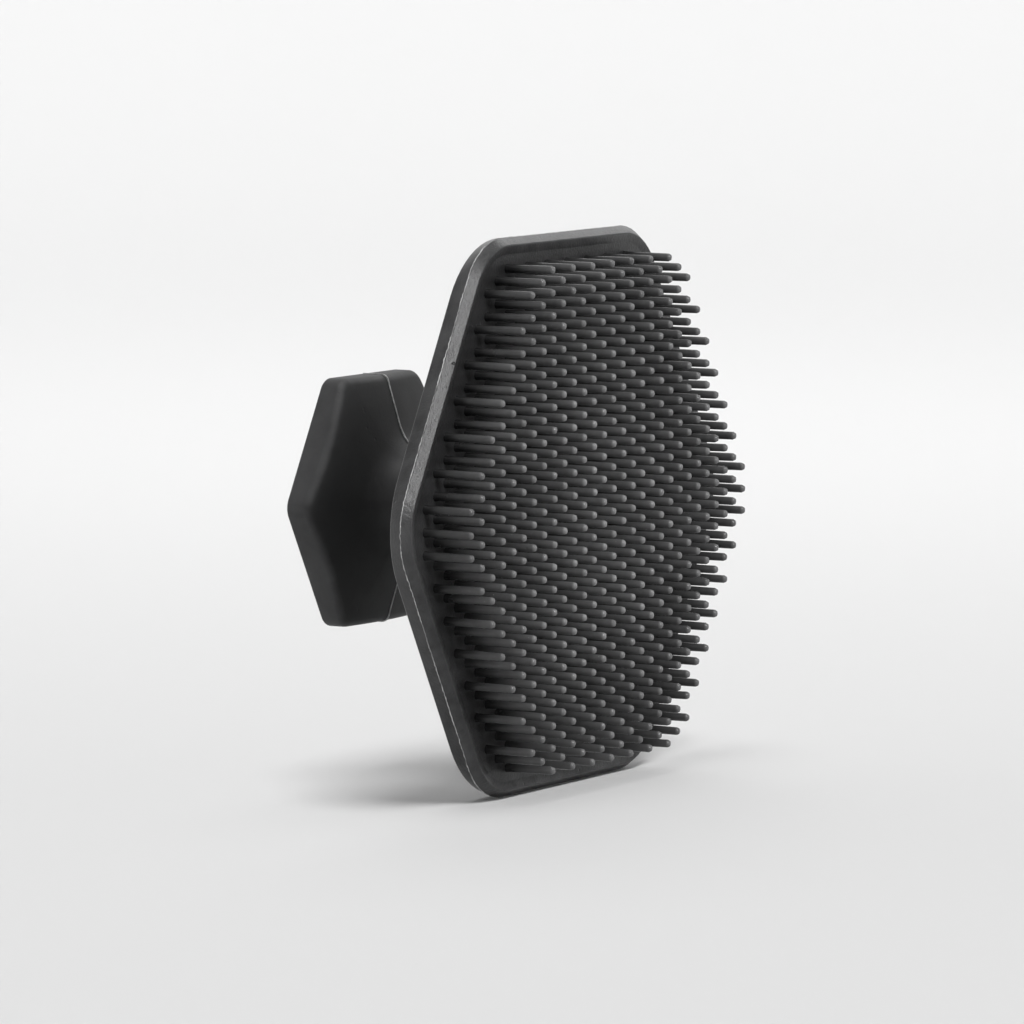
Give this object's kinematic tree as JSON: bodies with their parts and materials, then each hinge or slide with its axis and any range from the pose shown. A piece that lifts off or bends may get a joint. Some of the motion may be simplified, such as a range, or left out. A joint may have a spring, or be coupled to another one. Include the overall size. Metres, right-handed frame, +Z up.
{
  "type": "scalp massager brush",
  "caption": "Hexagonal silicone scalp massager: a bevelled pad full of fine round-tipped bristles on a flared neck with a hexagonal finger knob.",
  "frame": {"origin": "bottom centre of the bounding box, level with the pad's lower flat side", "axes": "+X along the brush axis from the finger knob toward the bristle tips, +Y across the pad's two pointed corners, +Z up through the pad's flat sides"},
  "size_m": [0.0378, 0.0778, 0.07],
  "materials": {
    "bristle_silicone": "satin",
    "skin_silicone": "matte",
    "core_plastic": "satin"
  },
  "bodies": {
    "root": {"bristle_pad": "bristle_silicone", "back_skin": "skin_silicone", "neck_skin": "skin_silicone", "knob_skin": "skin_silicone", "head_plate": "core_plastic", "stem": "core_plastic", "knob_core": "core_plastic"}
  },
  "joints": []
}
